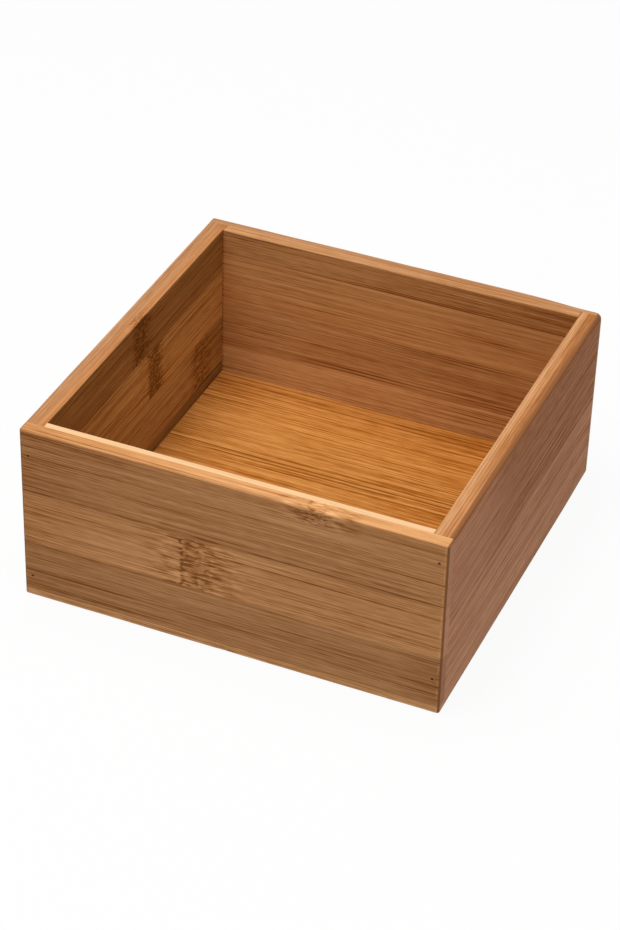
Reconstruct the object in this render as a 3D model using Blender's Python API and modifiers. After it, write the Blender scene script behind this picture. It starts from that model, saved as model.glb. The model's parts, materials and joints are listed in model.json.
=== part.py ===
"""A square, open-topped bamboo organizer, glued up from slats.

Each wall has two plies of slats laid edge to edge. The outer plies of the front and the back run the
whole width, and their inner plies stop at the side walls, so the ends of the side walls sit in the
rabbets that are left. The floor is one more panel of slats, held in a groove in the inner plies.
Steel pins hold the corners.

Metres, +Z up. The origin is at the middle of the underside, and the front faces -Y.
"""

from dataclasses import dataclass
from math import pi

import bmesh
import bpy
from mathutils import Vector

# The box
BOX_WIDTH = 0.150
BOX_DEPTH = 0.150
BOX_HEIGHT = 0.0675

# The plies of the walls, from the outside in
FRONT_OUTER_PLY = 0.0043
FRONT_INNER_PLY = 0.0024
BACK_OUTER_PLY = 0.0032
BACK_INNER_PLY = 0.0035
SIDE_OUTER_PLY = 0.0042
SIDE_INNER_PLY = 0.0025

# The slats that the plies and the floor are glued up from
SLAT_WIDTH = 0.0193
LEAST_SLAT_WIDTH = 0.0024
GLUE_LINE = 0.0003

# The floor panel, and how deep it enters the thinnest inner ply
FLOOR_THICKNESS = 0.0035
FLOOR_LIFT = 0.0027
FLOOR_CLEARANCE = 0.0003
FLOOR_TONGUE_SHARE = 0.5

# The rounded edges, each held to a share of the ply that carries it
RIM_ROUND = 0.0012
INNER_RIM_ROUND = 0.0004
FOOT_ROUND = 0.0005
CORNER_ROUND = 0.0015
BACK_RIGHT_CORNER_ROUND = 0.0027
ROUND_LIMIT_SHARE = 0.85
ROUND_SEGMENTS = 4

# The pins at the corners, driven along Y into the ends of the side walls
PIN_LENGTH = 0.018
PIN_DIAMETER = 0.0009
PIN_HEAD_DIAMETER = 0.0012
PIN_HEAD_HEIGHT = 0.0005
PIN_POINT_LENGTH = 0.0016
PIN_SINK = 0.0002
PIN_CLEARANCE = 0.0003
PIN_STEPS = 16
PIN_MERGE_SHARE = 0.01

# How far in from the side of the box a pin stands, as a share of the side wall
PIN_INSET_SHARE = 0.43

# The outer slats that the upper and the lower pins go through, counted from the rim down
FRONT_PIN_SLATS = (2, 4)
BACK_PIN_SLATS = (1, 4)

# How far down its slat each corner's upper and lower pin stands, as a share of the slat
FRONT_LEFT_PIN_SHARES = (0.21, 0.73)
FRONT_RIGHT_PIN_SHARES = (0.07, 0.45)
BACK_LEFT_PIN_SHARES = (0.63, 0.28)
BACK_RIGHT_PIN_SHARES = (0.68, 0.38)

# What is left of the first slat of each panel after it is trimmed, as a share of a whole slat
FRONT_OUTER_FIRST_SHARE = 0.30
FRONT_INNER_FIRST_SHARE = 0.60
BACK_OUTER_FIRST_SHARE = 0.72
BACK_INNER_FIRST_SHARE = 0.49
LEFT_OUTER_FIRST_SHARE = 0.55
LEFT_INNER_FIRST_SHARE = 0.89
RIGHT_OUTER_FIRST_SHARE = 0.78
RIGHT_INNER_FIRST_SHARE = 0.65
FLOOR_FIRST_SHARE = 0.60

# Colours of the oiled bamboo and of the pins, as linear red, green and blue
FRONT_OUTER_COLOUR = (0.42, 0.20, 0.080)
FRONT_INNER_COLOUR = (0.72, 0.44, 0.240)
BACK_OUTER_COLOUR = (0.44, 0.21, 0.090)
BACK_INNER_COLOUR = (0.45, 0.22, 0.090)
LEFT_OUTER_COLOUR = (0.43, 0.20, 0.080)
LEFT_INNER_COLOUR = (0.43, 0.20, 0.080)
RIGHT_OUTER_COLOUR = (0.38, 0.18, 0.085)
RIGHT_INNER_COLOUR = (0.50, 0.25, 0.110)
FLOOR_COLOUR = (0.56, 0.27, 0.080)
SLAT_TONE_SHARES = (0.94, 1.02, 1.10, 0.90, 1.05, 0.97, 1.08, 0.92)
BAMBOO_ROUGHNESS = 0.55
STEEL_COLOUR = (0.16, 0.14, 0.12)
STEEL_ROUGHNESS = 0.45

FRONT_WALL = FRONT_OUTER_PLY + GLUE_LINE + FRONT_INNER_PLY
BACK_WALL = BACK_OUTER_PLY + GLUE_LINE + BACK_INNER_PLY
SIDE_WALL = SIDE_OUTER_PLY + GLUE_LINE + SIDE_INNER_PLY
RIGHT_FACE = BOX_WIDTH / 2
BACK_FACE = BOX_DEPTH / 2
FLOOR_TOP = FLOOR_LIFT + FLOOR_THICKNESS
FLOOR_TONGUE = FLOOR_TONGUE_SHARE * min(FRONT_INNER_PLY, BACK_INNER_PLY, SIDE_INNER_PLY)
LEAST_GROOVED_SLAT = FLOOR_TOP + FLOOR_CLEARANCE + LEAST_SLAT_WIDTH


@dataclass(frozen=True)
class Panel:
    """A panel glued up from slats: its name, how its first slat is trimmed, and its colour."""

    name: str
    first_share: float
    colour: tuple


FRONT_OUTER = Panel("front_outer", FRONT_OUTER_FIRST_SHARE, FRONT_OUTER_COLOUR)
FRONT_INNER = Panel("front_inner", FRONT_INNER_FIRST_SHARE, FRONT_INNER_COLOUR)
BACK_OUTER = Panel("back_outer", BACK_OUTER_FIRST_SHARE, BACK_OUTER_COLOUR)
BACK_INNER = Panel("back_inner", BACK_INNER_FIRST_SHARE, BACK_INNER_COLOUR)
LEFT_OUTER = Panel("left_outer", LEFT_OUTER_FIRST_SHARE, LEFT_OUTER_COLOUR)
LEFT_INNER = Panel("left_inner", LEFT_INNER_FIRST_SHARE, LEFT_INNER_COLOUR)
RIGHT_OUTER = Panel("right_outer", RIGHT_OUTER_FIRST_SHARE, RIGHT_OUTER_COLOUR)
RIGHT_INNER = Panel("right_inner", RIGHT_INNER_FIRST_SHARE, RIGHT_INNER_COLOUR)
FLOOR = Panel("floor", FLOOR_FIRST_SHARE, FLOOR_COLOUR)


@dataclass(frozen=True)
class PinnedCorner:
    """A corner that two pins hold, an upper and a lower one.

    The wall is -1 for the front and 1 for the back, and the side is -1 for the left and 1 for the right.
    Each pin goes through one of the wall's outer slats, a share of the slat down from its upper edge.
    """

    name: str
    wall: int
    side: int
    slat_numbers: tuple
    height_shares: tuple


FRONT_CORNERS = (
    PinnedCorner("front_left", -1, -1, FRONT_PIN_SLATS, FRONT_LEFT_PIN_SHARES),
    PinnedCorner("front_right", -1, 1, FRONT_PIN_SLATS, FRONT_RIGHT_PIN_SHARES),
)
BACK_CORNERS = (
    PinnedCorner("back_left", 1, -1, BACK_PIN_SLATS, BACK_LEFT_PIN_SHARES),
    PinnedCorner("back_right", 1, 1, BACK_PIN_SLATS, BACK_RIGHT_PIN_SHARES),
)


@dataclass(frozen=True)
class Block:
    """A straight block of space between two corners."""

    low: Vector
    high: Vector

    def grown(self, margin):
        """The same block with a margin added on every side."""
        step = Vector((margin, margin, margin))
        return Block(self.low - step, self.high + step)

    def meets(self, other):
        """Whether the two blocks share any space."""
        return all(
            self.low[axis] < other.high[axis] and other.low[axis] < self.high[axis]
            for axis in range(3)
        )


def block(across, along, upright):
    """A block from its ranges in X, Y and Z."""
    ranges = (across, along, upright)
    return Block(Vector([low for low, _ in ranges]), Vector([high for _, high in ranges]))


def clear_scene():
    """Remove every object, so that only the tray is left."""
    for item in list(bpy.data.objects):
        bpy.data.objects.remove(item, do_unlink=True)


def new_collection(name):
    """A new collection in the scene."""
    collection = bpy.data.collections.new(name)
    bpy.context.scene.collection.children.link(collection)
    return collection


def new_material(name, colour, roughness, metallic):
    """A plain material for one sub-part."""
    material = bpy.data.materials.new(name)
    material.use_nodes = True
    material.diffuse_color = (*colour, 1)
    shader = material.node_tree.nodes["Principled BSDF"]
    shader.inputs["Base Color"].default_value = (*colour, 1)
    shader.inputs["Roughness"].default_value = roughness
    shader.inputs["Metallic"].default_value = metallic
    return material


def bamboo(panel, number):
    """The bamboo of one slat, lighter or darker than its neighbours."""
    tone = SLAT_TONE_SHARES[(number + len(panel.name)) % len(SLAT_TONE_SHARES)]
    colour = [tone * value for value in panel.colour]
    return new_material(f"bamboo_{panel.name}_{number}", colour, BAMBOO_ROUGHNESS, 0)


def box_mesh(name, size):
    """A box of this size about its own middle."""
    shape = bmesh.new()
    bmesh.ops.create_cube(shape, size=1)
    bmesh.ops.scale(shape, vec=size, verts=shape.verts)
    mesh = bpy.data.meshes.new(name)
    shape.to_mesh(mesh)
    shape.free()
    return mesh


def box_object(name, space, collection):
    """A box that fills a block of space."""
    item = bpy.data.objects.new(name, box_mesh(name, space.high - space.low))
    item.location = (space.low + space.high) / 2
    collection.objects.link(item)
    return item


def sides_of_edge(mesh, edge):
    """The signs of the two sides that an edge of a box lies between, as X, Y and Z."""
    middle = (mesh.vertices[edge.vertices[0]].co + mesh.vertices[edge.vertices[1]].co) / 2
    along = mesh.vertices[edge.vertices[0]].co - mesh.vertices[edge.vertices[1]].co
    return tuple(0 if along[axis] else (1 if middle[axis] > 0 else -1) for axis in range(3))


def round_edges(item, rounds):
    """Round the edges of a box, each named by the signs of the two sides that it lies between."""
    widest = max(rounds.values(), default=0)
    if not widest:
        return
    weights = item.data.attributes.new("bevel_weight_edge", "FLOAT", "EDGE")
    for edge in item.data.edges:
        weights.data[edge.index].value = rounds.get(sides_of_edge(item.data, edge), 0) / widest
    bevel = item.modifiers.new("Rounded edges", "BEVEL")
    bevel.limit_method = "WEIGHT"
    bevel.width = widest
    bevel.segments = ROUND_SEGMENTS
    item.data.shade_smooth()
    item.data.set_sharp_from_angle(angle=pi / 6)


def turned_piece(name, outline, collection):
    """A round piece from its outline, listed as radius and height from the top down."""
    mesh = bpy.data.meshes.new(name)
    points = [(radius, 0, height) for radius, height in outline]
    mesh.from_pydata(points, [(i, i + 1) for i in range(len(points) - 1)], [])
    item = bpy.data.objects.new(name, mesh)
    collection.objects.link(item)
    screw = item.modifiers.new("Turned", "SCREW")
    screw.steps = PIN_STEPS
    screw.render_steps = PIN_STEPS
    screw.use_merge_vertices = True
    screw.merge_threshold = PIN_MERGE_SHARE * PIN_DIAMETER
    return item


def slat_spans(total, first_share, least_last):
    """Cut a panel's width into slats.

    The first slat is trimmed to a share of a whole one, and the last takes what is left, at least
    least_last. Each span is measured from the panel's first edge, with a glue line between two.
    """
    spans = []
    start = 0
    width = SLAT_WIDTH * first_share
    while start + width + GLUE_LINE + least_last < total:
        spans.append((start, start + width))
        start += width + GLUE_LINE
        width = SLAT_WIDTH
    spans.append((start, total))
    return spans


def held(radius, ply):
    """A radius that its ply has room for."""
    return min(radius, ROUND_LIMIT_SHARE * ply)


def wall_ply(panel, across, along, rounds_of, least_last, collection):
    """Make one ply of a wall from its slats, numbered from the rim down."""
    slats = []
    spans = slat_spans(BOX_HEIGHT, panel.first_share, least_last)
    for number, (start, end) in enumerate(spans, 1):
        space = block(across, along, (BOX_HEIGHT - end, BOX_HEIGHT - start))
        slat = box_object(f"{panel.name}_slat_{number}", space, collection)
        slat.data.materials.append(bamboo(panel, number))
        round_edges(slat, rounds_of(number == 1, number == len(spans)))
        slats.append((slat, space))
    return slats


def end_wall_rounds(side, left_corner, right_corner, ply):
    """The rounded edges of the front's or the back's outer ply, which side tells apart as -1 or 1."""

    def rounds_of(top, bottom):
        rounds = {(-1, side, 0): held(left_corner, ply), (1, side, 0): held(right_corner, ply)}
        if top:
            rim = held(RIM_ROUND, ply)
            rounds |= {(0, side, 1): rim, (-1, 0, 1): rim, (1, 0, 1): rim}
        if bottom:
            foot = held(FOOT_ROUND, ply)
            rounds |= {(0, side, -1): foot, (-1, 0, -1): foot, (1, 0, -1): foot}
        return rounds

    return rounds_of


def side_wall_rounds(side):
    """The rounded edges of a side wall's outer ply: -1 is the left wall and 1 the right."""

    def rounds_of(top, bottom):
        rounds = {}
        if top:
            rounds[(side, 0, 1)] = held(RIM_ROUND, SIDE_OUTER_PLY)
        if bottom:
            rounds[(side, 0, -1)] = held(FOOT_ROUND, SIDE_OUTER_PLY)
        return rounds

    return rounds_of


def inner_rounds(edge, ply):
    """The one eased edge of an inner ply, along the inside of the rim."""

    def rounds_of(top, bottom):
        return {edge: held(INNER_RIM_ROUND, ply)} if top else {}

    return rounds_of


def front_wall(collection):
    """The front wall: an outer ply of the full width, and an inner ply between the side walls."""
    whole = (-RIGHT_FACE, RIGHT_FACE)
    between = (SIDE_WALL + GLUE_LINE - RIGHT_FACE, RIGHT_FACE - SIDE_WALL - GLUE_LINE)
    outer = (-BACK_FACE, FRONT_OUTER_PLY - BACK_FACE)
    inner = (FRONT_OUTER_PLY + GLUE_LINE - BACK_FACE, FRONT_WALL - BACK_FACE)
    outer_rounds = end_wall_rounds(-1, CORNER_ROUND, CORNER_ROUND, FRONT_OUTER_PLY)
    eased = inner_rounds((0, 1, 1), FRONT_INNER_PLY)
    return (
        wall_ply(FRONT_OUTER, whole, outer, outer_rounds, LEAST_SLAT_WIDTH, collection),
        wall_ply(FRONT_INNER, between, inner, eased, LEAST_GROOVED_SLAT, collection),
    )


def back_wall(collection):
    """The back wall, built like the front one with a thinner outer ply."""
    whole = (-RIGHT_FACE, RIGHT_FACE)
    between = (SIDE_WALL + GLUE_LINE - RIGHT_FACE, RIGHT_FACE - SIDE_WALL - GLUE_LINE)
    outer = (BACK_FACE - BACK_OUTER_PLY, BACK_FACE)
    inner = (BACK_FACE - BACK_WALL, BACK_FACE - BACK_OUTER_PLY - GLUE_LINE)
    outer_rounds = end_wall_rounds(1, CORNER_ROUND, BACK_RIGHT_CORNER_ROUND, BACK_OUTER_PLY)
    eased = inner_rounds((0, -1, 1), BACK_INNER_PLY)
    return (
        wall_ply(BACK_OUTER, whole, outer, outer_rounds, LEAST_SLAT_WIDTH, collection),
        wall_ply(BACK_INNER, between, inner, eased, LEAST_GROOVED_SLAT, collection),
    )


def side_wall(outer_panel, inner_panel, side, collection):
    """The left or the right wall, which ends at the outer plies of the front and the back."""
    along = (
        FRONT_OUTER_PLY + GLUE_LINE - BACK_FACE,
        BACK_FACE - BACK_OUTER_PLY - GLUE_LINE,
    )
    outer = sorted((side * RIGHT_FACE, side * (RIGHT_FACE - SIDE_OUTER_PLY)))
    inner = sorted(
        (side * (RIGHT_FACE - SIDE_OUTER_PLY - GLUE_LINE), side * (RIGHT_FACE - SIDE_WALL))
    )
    eased = inner_rounds((-side, 0, 1), SIDE_INNER_PLY)
    rounds = side_wall_rounds(side)
    return (
        wall_ply(outer_panel, outer, along, rounds, LEAST_SLAT_WIDTH, collection),
        wall_ply(inner_panel, inner, along, eased, LEAST_GROOVED_SLAT, collection),
    )


def floor_block():
    """The space that the floor panel fills, with its edges in the groove."""
    reach = RIGHT_FACE - SIDE_WALL + FLOOR_TONGUE
    front = FRONT_WALL - BACK_FACE - FLOOR_TONGUE
    back = BACK_FACE - BACK_WALL + FLOOR_TONGUE
    return block((-reach, reach), (front, back), (FLOOR_LIFT, FLOOR_TOP))


def floor_panel(collection):
    """Make the floor from slats that run from side to side, numbered from the back."""
    panel = floor_block()
    depth = panel.high.y - panel.low.y
    spans = slat_spans(depth, FLOOR.first_share, LEAST_SLAT_WIDTH)
    for number, (start, end) in enumerate(spans, 1):
        space = Block(
            Vector((panel.low.x, panel.high.y - end, panel.low.z)),
            Vector((panel.high.x, panel.high.y - start, panel.high.z)),
        )
        slat = box_object(f"floor_slat_{number}", space, collection)
        slat.data.materials.append(bamboo(FLOOR, number))


def pin_outline(margin, top):
    """A pin's outline from this top down to its point, with a margin round its sides and end."""
    head = PIN_HEAD_DIAMETER / 2 + margin
    shank = PIN_DIAMETER / 2 + margin
    head_base = -PIN_HEAD_HEIGHT - margin
    shoulder = PIN_POINT_LENGTH - PIN_LENGTH - margin
    return [
        (0, top),
        (head, top),
        (head, head_base),
        (shank, head_base),
        (shank, shoulder),
        (0, -PIN_LENGTH - margin),
    ]


def pin_height(outer, number, share):
    """How high a pin stands that goes through this outer slat of a wall, or the last one of a low wall."""
    _, space = outer[min(number, len(outer)) - 1]
    return space.high.z - share * (space.high.z - space.low.z)


def pin_place(corner, height):
    """Where a pin's head lies, how the pin is turned, and the space that its hole takes."""
    inset = corner.side * (RIGHT_FACE - PIN_INSET_SHARE * SIDE_WALL)
    head = Vector((inset, corner.wall * (BACK_FACE - PIN_SINK), height))
    turn = (-corner.wall * pi / 2, 0, 0)
    radius = PIN_HEAD_DIAMETER / 2 + PIN_CLEARANCE
    depth = corner.wall * (BACK_FACE - PIN_SINK - PIN_LENGTH - PIN_CLEARANCE)
    hole = block(
        (head.x - radius, head.x + radius),
        sorted((corner.wall * BACK_FACE, depth)),
        (head.z - radius, head.z + radius),
    )
    return head, turn, hole


def cut(slats, space, cutter):
    """Cut every slat that the cutter reaches."""
    for slat, filled in slats:
        if filled.meets(space):
            boolean = slat.modifiers.new(f"Cut by {cutter.name}", "BOOLEAN")
            boolean.operation = "DIFFERENCE"
            boolean.object = cutter


def hide_cutter(cutter):
    """Keep a cutter out of the finished tray."""
    cutter.hide_render = True
    cutter.display_type = "WIRE"


def cut_floor_groove(inner_slats, cutters):
    """Cut the groove that the floor's edges sit in."""
    space = floor_block().grown(FLOOR_CLEARANCE)
    cutter = box_object("floor_groove", space, cutters)
    hide_cutter(cutter)
    cut(inner_slats, space, cutter)


def drive_pins(corner, outer, slats, steel, collection, cutters):
    """Make the two pins of a corner and their holes."""
    bore = pin_outline(PIN_CLEARANCE, PIN_SINK + PIN_CLEARANCE)
    levels = zip(("upper", "lower"), corner.slat_numbers, corner.height_shares)
    for level, number, share in levels:
        head, turn, space = pin_place(corner, pin_height(outer, number, share))
        pin = turned_piece(f"{corner.name}_{level}_pin", pin_outline(0, 0), collection)
        pin.data.materials.append(steel)
        hole = turned_piece(f"{corner.name}_{level}_hole", bore, cutters)
        for item in (pin, hole):
            item.location = head
            item.rotation_euler = turn
        hide_cutter(hole)
        cut(slats, space, hole)


def main():
    """Build the tray."""
    clear_scene()
    tray = new_collection("Bamboo organizer")
    cutters = new_collection("Cutters")
    front = front_wall(tray)
    back = back_wall(tray)
    left = side_wall(LEFT_OUTER, LEFT_INNER, -1, tray)
    right = side_wall(RIGHT_OUTER, RIGHT_INNER, 1, tray)
    walls = (front, back, left, right)
    inner_slats = [slat for _, inner in walls for slat in inner]
    slats = [slat for outer, inner in walls for slat in outer + inner]
    floor_panel(tray)
    cut_floor_groove(inner_slats, cutters)
    steel = new_material("pin_steel", STEEL_COLOUR, STEEL_ROUGHNESS, 1)
    for corners, (outer, _) in ((FRONT_CORNERS, front), (BACK_CORNERS, back)):
        for corner in corners:
            drive_pins(corner, outer, slats, steel, tray, cutters)


main()
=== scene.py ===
"""Looks of a square bamboo organizer: its glued slats, rabbeted corners, steel pins and oiled finish.

Each slat of the walls and of the floor is a piece of its own, made by one Geometry Nodes tree from the
slat's place in the frame. The plies close up on each other, the floor's edges sit in a groove, and each
pin sits in its own bore. Metres, +Z up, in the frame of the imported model. The bamboo's patterns are in
millimetres.
"""

import json
import logging
import math
from dataclasses import dataclass, replace
from enum import Enum
from itertools import product
from typing import Union

import bmesh
import bpy
from mathutils import Matrix, Vector

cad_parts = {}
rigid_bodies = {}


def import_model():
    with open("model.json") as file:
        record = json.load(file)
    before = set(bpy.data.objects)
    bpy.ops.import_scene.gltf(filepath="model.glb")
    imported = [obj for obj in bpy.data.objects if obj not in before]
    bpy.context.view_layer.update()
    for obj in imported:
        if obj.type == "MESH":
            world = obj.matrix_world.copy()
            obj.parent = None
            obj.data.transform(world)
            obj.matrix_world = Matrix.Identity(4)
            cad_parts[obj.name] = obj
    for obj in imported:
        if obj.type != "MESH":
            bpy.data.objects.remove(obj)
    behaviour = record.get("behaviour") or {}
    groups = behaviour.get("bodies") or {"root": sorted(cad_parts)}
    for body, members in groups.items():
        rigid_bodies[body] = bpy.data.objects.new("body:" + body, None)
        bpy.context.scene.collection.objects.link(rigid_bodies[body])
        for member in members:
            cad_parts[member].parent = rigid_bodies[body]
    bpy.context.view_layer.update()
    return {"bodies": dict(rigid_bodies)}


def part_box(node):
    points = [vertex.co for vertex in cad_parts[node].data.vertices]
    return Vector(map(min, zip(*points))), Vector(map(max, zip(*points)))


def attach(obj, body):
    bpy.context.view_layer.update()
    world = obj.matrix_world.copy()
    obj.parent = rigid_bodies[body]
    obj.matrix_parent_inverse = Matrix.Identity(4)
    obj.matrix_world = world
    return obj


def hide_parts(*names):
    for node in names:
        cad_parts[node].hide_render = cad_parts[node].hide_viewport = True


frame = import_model()
BODY = next(iter(frame["bodies"]))

MILLIMETRE = 0.001
TINY = 0.01 * MILLIMETRE

Triple = tuple[float, float, float]
Colour = Triple
Piece = bpy.types.Object
Value = Union["Signal", float]
WHITE: Colour = (1.0, 1.0, 1.0)
LENGTH, WIDTH, THICKNESS = range(3)

log = logging.getLogger("organizer")


@dataclass(frozen=True)
class Signal:
    """One output of a node, which can be used in expressions with numbers and other outputs."""

    graph: "Graph"
    socket: bpy.types.NodeSocket

    def __add__(self, other: Value) -> "Signal":
        """The sum of the two."""
        return self.graph.math("ADD", self, other)

    __radd__ = __add__

    def __sub__(self, other: Value) -> "Signal":
        """This less the other."""
        return self.graph.math("SUBTRACT", self, other)

    def __rsub__(self, other: float) -> "Signal":
        """The other less this."""
        return self.graph.math("SUBTRACT", other, self)

    def __mul__(self, other: Value) -> "Signal":
        """The product of the two."""
        return self.graph.math("MULTIPLY", self, other)

    __rmul__ = __mul__

    def __truediv__(self, other: Value) -> "Signal":
        """This divided by the other."""
        return self.graph.math("DIVIDE", self, other)

    def __abs__(self) -> "Signal":
        """This without its sign."""
        return self.graph.math("ABSOLUTE", self)

    def at_least(self, other: Value) -> "Signal":
        """The larger of the two."""
        return self.graph.math("MAXIMUM", self, other)

    def at_most(self, other: Value) -> "Signal":
        """The smaller of the two."""
        return self.graph.math("MINIMUM", self, other)

    def ramp(self, low: float, high: float) -> "Signal":
        """A smooth step from 0 at low to 1 at high."""
        settings = {"interpolation_type": "SMOOTHSTEP"}
        return self.graph.add("ShaderNodeMapRange", settings, {0: self, 1: low, 2: high})

    def beside(self, name: str) -> "Signal":
        """Another output of the same node."""
        return Signal(self.graph, self.socket.node.outputs[name])


@dataclass(frozen=True)
class Graph:
    """A node tree, for a material or for geometry, that is written as expressions."""

    tree: bpy.types.NodeTree

    def feed(self, socket: bpy.types.NodeSocket, value: object) -> None:
        """Link an output to an input, or set the input to a value.

        Args:
            socket: the input.
            value: a Signal to link, or a number, a vector or a colour.
        """
        if isinstance(value, Signal):
            self.tree.links.new(value.socket, socket)
        else:
            socket.default_value = value

    def add(
        self,
        kind: str,
        settings: dict | None = None,
        sockets: dict | None = None,
        output: int | str = 0,
    ) -> Signal:
        """Add a node.

        Args:
            kind: the node's type.
            settings: the node's own settings, which are set first.
            sockets: values or Signals for its inputs, by name or by number.
            output: the output to return, by name or by number.

        Returns:
            The output as a Signal.
        """
        node = self.tree.nodes.new(kind)
        for name, value in (settings or {}).items():
            setattr(node, name, value)
        for name, value in (sockets or {}).items():
            self.feed(node.inputs[name], value)
        return Signal(self, node.outputs[output])

    def math(self, operation: str, *values: Value) -> Signal:
        """Add a Math node for an operation on these values and return its result."""
        return self.add("ShaderNodeMath", {"operation": operation}, dict(enumerate(values)))

    def vector(self, *values: Value) -> Signal:
        """Join three values to a vector."""
        return self.add("ShaderNodeCombineXYZ", {}, dict(enumerate(values)))

    def split(self, vector: Signal) -> list[Signal]:
        """Take a vector apart into its three values."""
        first = self.add("ShaderNodeSeparateXYZ", {}, {0: vector})
        return [first.beside(axis) for axis in "XYZ"]

    def scaled(self, vector: Signal, factor: Value) -> Signal:
        """A vector made longer or shorter by a factor."""
        settings = {"operation": "SCALE"}
        return self.add("ShaderNodeVectorMath", settings, {0: vector, "Scale": factor})

    def blend(self, factor: Value, first: object, second: object, mode: str = "MIX") -> Signal:
        """Mix two colours, from the first at 0 to the second at 1."""
        settings = {"data_type": "RGBA", "blend_type": mode, "clamp_factor": False}
        return self.add("ShaderNodeMix", settings, {0: factor, 6: first, 7: second}, 2)

    def noise(self, place: Signal, detail: float = 1.0, roughness: float = 0.5) -> Signal:
        """Cloudy noise around a half, with about one blob for each unit of its place."""
        sockets = {"Vector": place, "Scale": 1.0, "Detail": detail, "Roughness": roughness}
        return self.add("ShaderNodeTexNoise", {}, sockets)


@dataclass(frozen=True)
class Pattern:
    """Noise or cells that are drawn out along the fibres.

    Along and across are the blobs in a millimetre, detail and roughness are the noise's, swing is how far
    it strays, and shift keeps it unlike the others.
    """

    along: float
    across: float
    detail: float = 1.0
    roughness: float = 0.5
    swing: float = 1.0
    shift: Triple = (0.0, 0.0, 0.0)

    def place(self, axes: list[Value], seed: float = 0.0) -> Signal:
        """Where the pattern is read.

        Args:
            axes: a point's distances along, across and into a slat, in millimetres.
            seed: how much further to read it into the slat, in blobs.

        Returns:
            The place, in blobs.
        """
        along, across, deep = axes
        graph = along.graph
        place = graph.vector(along * self.along, across * self.across, deep * self.across)
        shift = (*self.shift[:2], self.shift[2] + seed)
        return graph.add("ShaderNodeVectorMath", {"operation": "ADD"}, {0: place, 1: shift})

    def read(self, axes: list[Value], seed: float = 0.0) -> Signal:
        """The noise at a point, around a half."""
        return axes[0].graph.noise(self.place(axes, seed), self.detail, self.roughness)

    def sway(self, axes: list[Value], seed: float = 0.0) -> Signal:
        """The noise at a point, around zero, as strong as its swing."""
        return (self.read(axes, seed) - 0.5) * self.swing

    def cells(self, axes: list[Value]) -> Signal:
        """How far a point lies from the middle of the nearest cell."""
        sockets = {"Vector": self.place(axes), "Scale": 1.0}
        return axes[0].graph.add("ShaderNodeTexVoronoi", {}, sockets)


class Lay(Enum):
    """Which way a slat lies, as the axes of its length, its width and its thickness."""

    END_WALL = (0, 2, 1)
    SIDE_WALL = (1, 2, 0)
    FLOOR = (0, 1, 2)

    def order(self, axes: list[Signal]) -> list[Signal]:
        """Put the values for X, Y and Z in the order of length, width and thickness."""
        return [axes[axis] for axis in self.value]


@dataclass(frozen=True)
class Knuckle:
    """The scar of a ring of the stem, which crosses a slat.

    The place is a share of the slat's length from its left or front end. The half width, the length of a
    stroke, the softness of its edges and the dent are metres. The rest is how dark its marks are.
    """

    place_share: float
    half_width: float = 0.0050
    darkness: float = 1.0
    crack: float = 0.2
    stroke: float = 0.0055
    soft: float = 0.0008
    ground: float = 0.25
    flank: float = 1.0
    dent: float = 0.00010

    def strokes(self) -> Pattern:
        """The rows of short dark strokes inside it."""
        return Pattern(MILLIMETRE / self.stroke, 1.45, 2, 0.6, swing=3.8)


@dataclass(frozen=True)
class DarkLine:
    """A line of dark fibres that runs along a slat, at a share of its width from its low side."""

    place_share: float
    half_width: float = 0.0004
    darkness: float = 0.5


@dataclass(frozen=True)
class Fade:
    """A slow change of tone along a slat, from one share of its length to another; some are painted shade,
    some the wood's own tone.
    """

    start_share: float
    end_share: float
    darkness: float


Mark = Knuckle | DarkLine | Fade


@dataclass(frozen=True)
class SlatLook:
    """What sets one slat apart: its tone, its grain's seed, its marks, its hue and its fibres' strength."""

    tone: float
    seed: float
    marks: tuple[Mark, ...] = ()
    redness: float = 0.0
    contrast: float = 1.0

    def knuckles(self) -> list[Knuckle]:
        """The slat's knuckles."""
        return [mark for mark in self.marks if isinstance(mark, Knuckle)]


@dataclass(frozen=True)
class Space:
    """The box that a slat fills, with its length, width and thickness as its lay orders them."""

    low: Vector
    high: Vector
    lay: Lay

    def at(self, part: int, share: float) -> float:
        """The place at a share of the length, the width or the thickness."""
        axis = self.lay.value[part]
        return self.low[axis] + share * (self.high[axis] - self.low[axis])

    def at_millimetres(self, part: int, share: float) -> float:
        """The same place, in millimetres."""
        return self.at(part, share) / MILLIMETRE


def shade(colour: Colour, tone: float = 1.0) -> tuple[float, float, float, float]:
    """A colour made lighter or darker by a tone, with its alpha."""
    return (*[part * tone for part in colour], 1)


def new_material(name: str) -> tuple[bpy.types.Material, Graph, bpy.types.Node]:
    """Start a material.

    Args:
        name: the material's name.

    Returns:
        The material, its graph and its shader.
    """
    material = bpy.data.materials.new(name)
    material.use_nodes = True
    return material, Graph(material.node_tree), material.node_tree.nodes["Principled BSDF"]


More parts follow.
